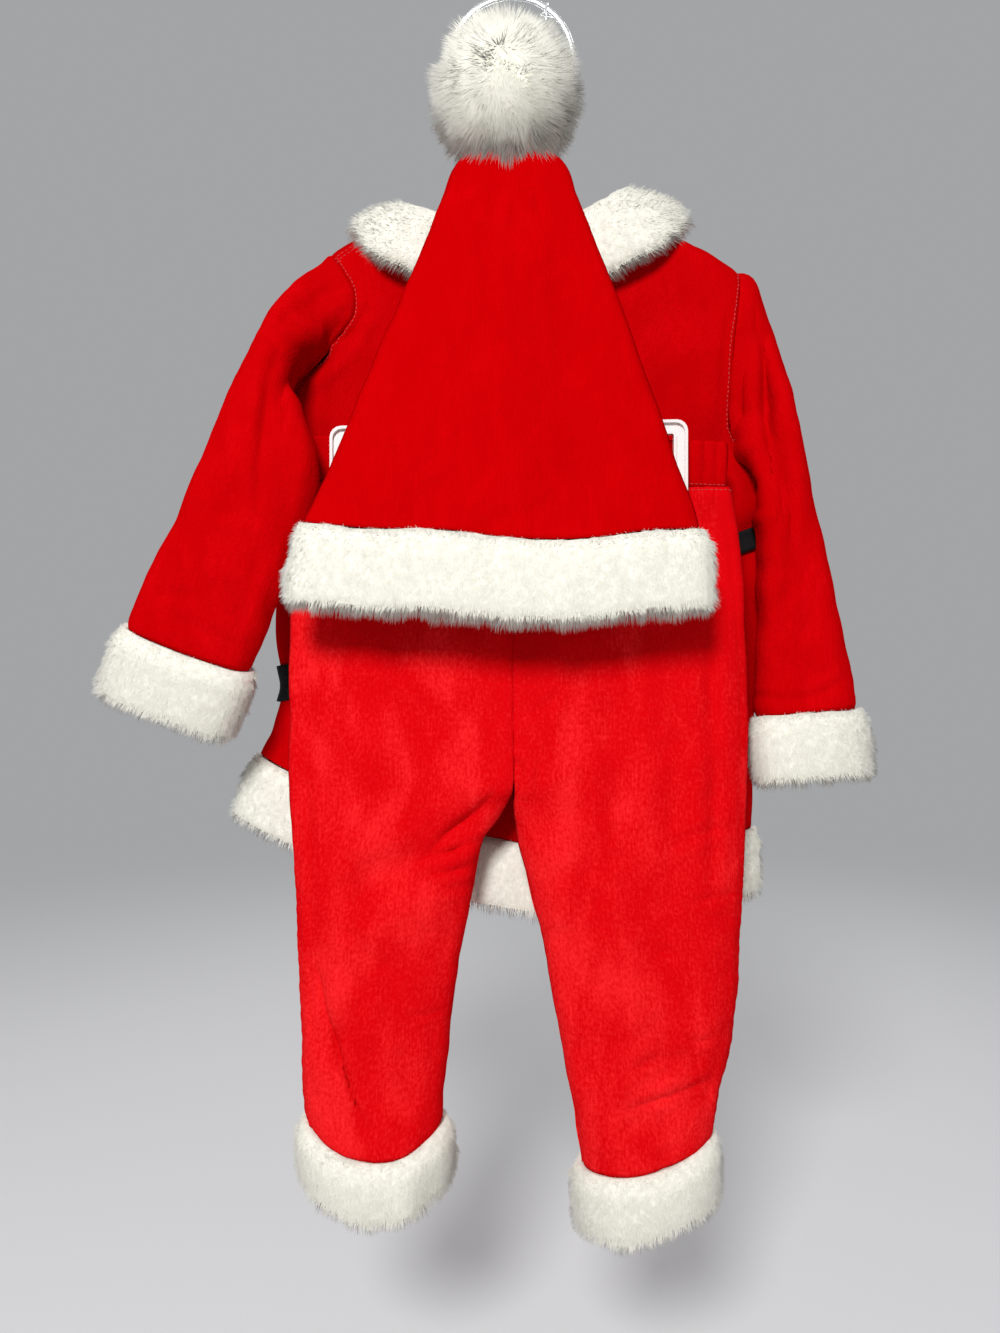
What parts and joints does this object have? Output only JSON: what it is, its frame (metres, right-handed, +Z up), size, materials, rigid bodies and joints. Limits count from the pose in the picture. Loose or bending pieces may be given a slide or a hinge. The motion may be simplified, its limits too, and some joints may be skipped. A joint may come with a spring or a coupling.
{
  "type": "santa suit on hanger",
  "caption": "Baby's Santa suit of red velour with white fur trims, hung on a plastic hanger: coat with a black belt, trousers clipped to a frame, and a pompom hat in front.",
  "frame": {"origin": "where the hanger's hook bears on its peg, the highest point of the hook's inside", "axes": "+Z up, +X to the right of someone facing the hat and the coat's back, +Y towards the wall behind"},
  "size_m": [0.43, 0.1388, 0.6969],
  "materials": {
    "red_velour": "brushed knitted velour, soft sheen",
    "white_fur": "soft faux fur, matt",
    "black_belt": "plain woven band, matt",
    "white_plastic": "clear-white moulded plastic, glossy"
  },
  "bodies": {
    "root": {"coat_back": "red_velour", "coat_front_left": "red_velour", "coat_front_right": "red_velour", "coat_sleeve_left": "red_velour", "coat_sleeve_right": "red_velour", "trousers_back_left": "red_velour", "trousers_back_right": "red_velour", "trousers_front_left": "red_velour", "trousers_front_right": "red_velour", "trousers_waist": "red_velour", "hat_back": "red_velour", "hat_front": "red_velour", "coat_collar": "white_fur", "coat_cuff_left": "white_fur", "coat_cuff_right": "white_fur", "coat_hem_fur": "white_fur", "trousers_cuff_left": "white_fur", "trousers_cuff_right": "white_fur", "hat_band": "white_fur", "pompom": "white_fur", "belt": "black_belt", "hanger_hook": "white_plastic", "hanger_arms": "white_plastic", "bottom_frame": "white_plastic", "frame_stem": "white_plastic", "clip_left": "white_plastic", "clip_right": "white_plastic", "tag_pin": "white_plastic"}
  },
  "joints": []
}
